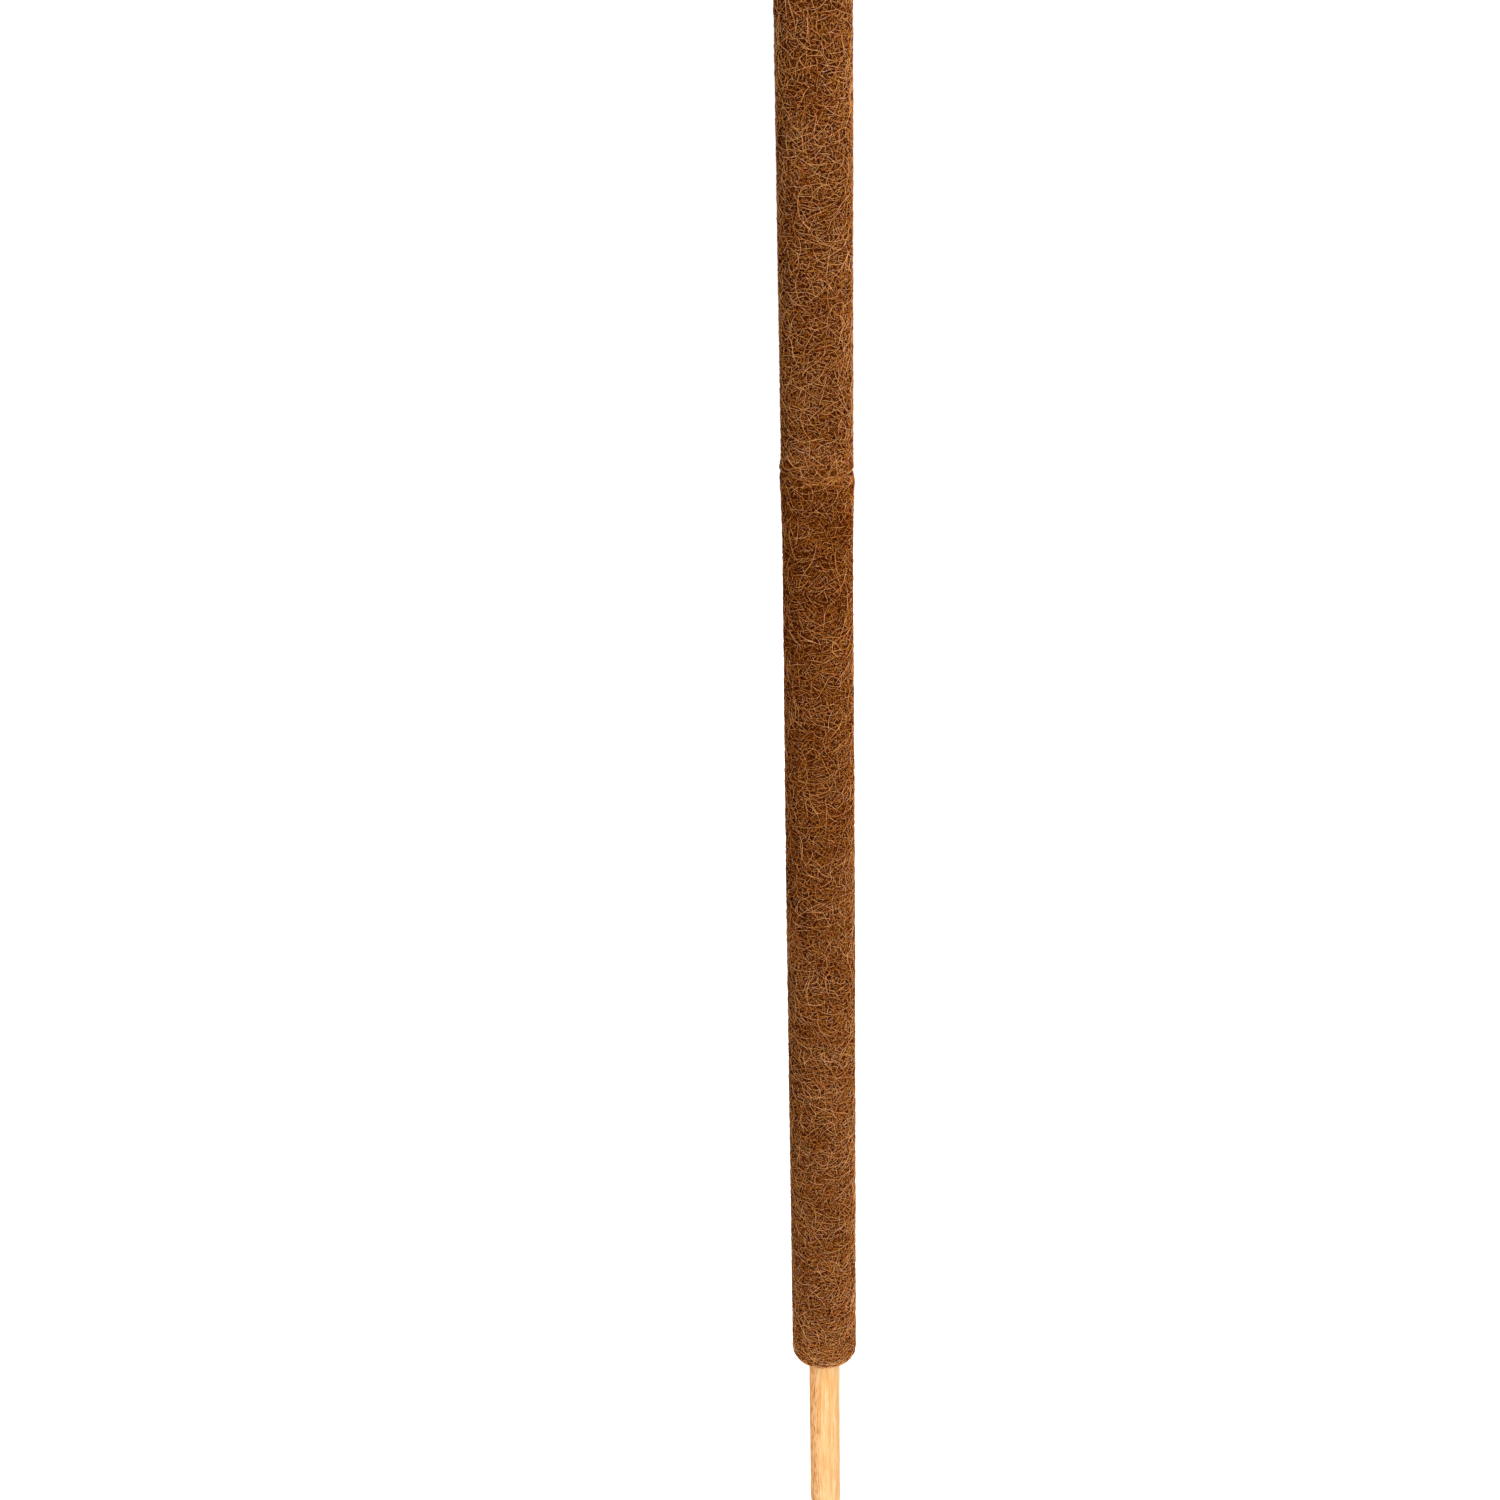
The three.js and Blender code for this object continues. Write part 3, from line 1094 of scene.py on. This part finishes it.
def dress_upper():
    """The upper sleeve, whose foot lies in the lower one's mouth and whose own mouth is free."""
    line = open_sleeve(SECTION_PITCH)
    back_top = SECTION_PITCH + SLEEVE_LENGTH - MOUTH_DEPTH - FELT_BACK_END
    back = [[[COIR_BORE_RADIUS, back_top], [COIR_BORE_RADIUS, SECTION_PITCH + FELT_BACK_START]]]
    depths = (FELT_DEPTH, FELT_DEPTH)
    made = felt_piece("upper_coir_felt", line, back, depths, FELT_LUMP, UPPER_SEED, felt)

    def settle(along, angle, lift):
        """Keeps the bedded foot clear of the lip, fills the groove over that, and opens it on the right."""
        over_lip = along - BEDDED_LENGTH
        highest = np.interp(over_lip, *FOOT_HIGHEST)
        opened = np.interp(over_lip, *FOOT_OPENING) * notch(angle)
        filled = np.interp(over_lip, *FOOT_FILLING) * (1 - notch(angle))
        return np.minimum(lift + filled, highest - opened)

    dress_sleeve("upper", made, line, UPPER_SEED, settle)


def dress_stake(section, base):
    """A finer stake in place of the solid's."""
    piece = stake_piece(f"{section}_stake_turned", stake_line(base + STAKE_TIP, base + STAKE_TOP), wood)
    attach(piece, f"{section}_section")
    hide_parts(f"{section}_stake")


def dress_solid(name, material):
    """A node that keeps its solid, with a material of its own."""
    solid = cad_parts[name]
    solid.data.materials.clear()
    solid.data.materials.append(material)


dress_lower()
dress_lining()
dress_upper()
dress_stake("lower", 0.0)
dress_stake("upper", SECTION_PITCH)
for section_name in ("lower", "upper"):
    dress_solid(f"{section_name}_core_tube", plastic)
    dress_solid(f"{section_name}_stake_nail_right", steel)
    dress_solid(f"{section_name}_stake_nail_left", steel)


# Studio

FLOOR_GAP = 0.5 * MM
FLOOR_SIZE = 60.0
FLOOR_COLOUR = (0.86, 0.86, 0.86, 1)
FLOOR_GLOW = 0.6
WHITE = (1, 1, 1, 1)

# Light from all round: weaker away from the light side, between these two shares of facing it
WORLD_LIGHT = 0.67
DARK_SIDE = 0.3
LIGHT_SIDE = (0.65, -0.76, 0.0)
LIGHT_FADE = (-0.7, 0.4)

# Lamps: where they stand, in metres, what they point at, and how strong they are
POLE_MIDDLE = (0, 0, 0.45)
PANEL_SIZE = (0.8, 1.6)
KEY_PLACE = (1.0, -1.6, 1.5)
KEY_POWER = 30
BACK_PLACE = (0.35, 1.9, 1.0)
BACK_POWER = 20
STAKE_MIDDLE = (0, 0, -0.065)
FILL_PLACE = (-0.8, -0.95, -0.05)
FILL_ANGLE = math.radians(6.5)
FILL_BLEND = 0.4
FILL_RADIUS = 0.1
FILL_POWER = 41

# Camera: where it stands from the pole, and how it is turned
CAMERA_BACK = 1015.4 * MM
CAMERA_HEIGHT = 716.9 * MM
CAMERA_PITCH = math.radians(20.343)
CAMERA_YAW = math.radians(-1.86)
CAMERA_ROLL = math.radians(-1.121)
CAMERA_LENS = 54.69
CAMERA_SENSOR = 36.0


def seen_directly(owner):
    """1 for what the camera sees straight or in a reflection, and 0 for what only gives light."""
    path = add_node(owner, "ShaderNodeLightPath")
    return calc(owner, "MAXIMUM", path.outputs["Is Camera Ray"], path.outputs["Is Glossy Ray"])


def make_floor():
    """A plain floor that looks white but keeps the shadow."""
    bpy.ops.mesh.primitive_plane_add(size=FLOOR_SIZE, location=(0, 0, STAKE_TIP - FLOOR_GAP))
    floor = bpy.context.object
    floor.name = "studio_floor"
    material, shader = new_material("studio_floor")
    shader.inputs["Base Color"].default_value = FLOOR_COLOUR
    shader.inputs["Roughness"].default_value = 0.9
    shader.inputs["Emission Color"].default_value = WHITE
    glow = calc(material, "MULTIPLY", seen_directly(material), FLOOR_GLOW)
    join(material, glow, shader.inputs["Emission Strength"])
    floor.data.materials.append(material)


def make_world():
    """White all round where it is seen, and a soft light that is weaker from the back on the left."""
    world = bpy.data.worlds.new("studio")
    world.use_nodes = True
    bpy.context.scene.world = world
    background = world.node_tree.nodes["Background"]
    background.inputs["Color"].default_value = WHITE
    facing = add_node(world, "ShaderNodeVectorMath", operation="DOT_PRODUCT")
    join(world, add_node(world, "ShaderNodeTexCoord").outputs["Generated"], facing.inputs[0])
    facing.inputs[1].default_value = LIGHT_SIDE
    light = spread(world, facing.outputs["Value"], LIGHT_FADE, (DARK_SIDE * WORLD_LIGHT, WORLD_LIGHT))
    strength = calc(world, "MAXIMUM", seen_directly(world), light)
    join(world, strength, background.inputs["Strength"])


def place_lamp(light, place, target):
    """Puts a lamp in the scene, turned to its target."""
    lamp = bpy.data.objects.new(light.name, light)
    bpy.context.scene.collection.objects.link(lamp)
    lamp.location = place
    lamp.rotation_euler = (Vector(target) - Vector(place)).to_track_quat("-Z", "Y").to_euler()


def add_panel(name, place, power):
    """A large soft lamp on the whole pole."""
    light = bpy.data.lights.new(name, "AREA")
    light.shape = "RECTANGLE"
    light.size, light.size_y = PANEL_SIZE
    light.energy = power
    place_lamp(light, place, POLE_MIDDLE)


def add_stake_fill():
    """A narrow lamp on the lower stake."""
    light = bpy.data.lights.new("stake_fill", "SPOT")
    light.spot_size = FILL_ANGLE
    light.spot_blend = FILL_BLEND
    light.shadow_soft_size = FILL_RADIUS
    light.energy = FILL_POWER
    place_lamp(light, FILL_PLACE, STAKE_MIDDLE)


def make_camera():
    camera = bpy.data.objects.new("camera", bpy.data.cameras.new("camera"))
    bpy.context.scene.collection.objects.link(camera)
    camera.data.lens = CAMERA_LENS
    camera.data.sensor_width = CAMERA_SENSOR
    camera.matrix_world = (
        Matrix.Translation((0, -CAMERA_BACK, CAMERA_HEIGHT))
        @ Matrix.Rotation(-CAMERA_YAW, 4, "Z")
        @ Matrix.Rotation(QUARTER - CAMERA_PITCH, 4, "X")
        @ Matrix.Rotation(CAMERA_ROLL, 4, "Z")
    )
    bpy.context.scene.camera = camera


make_floor()
make_world()
add_panel("key_right", KEY_PLACE, KEY_POWER)
add_panel("fill_back", BACK_PLACE, BACK_POWER)
add_stake_fill()
make_camera()
bpy.context.scene.view_settings.view_transform = "Standard"
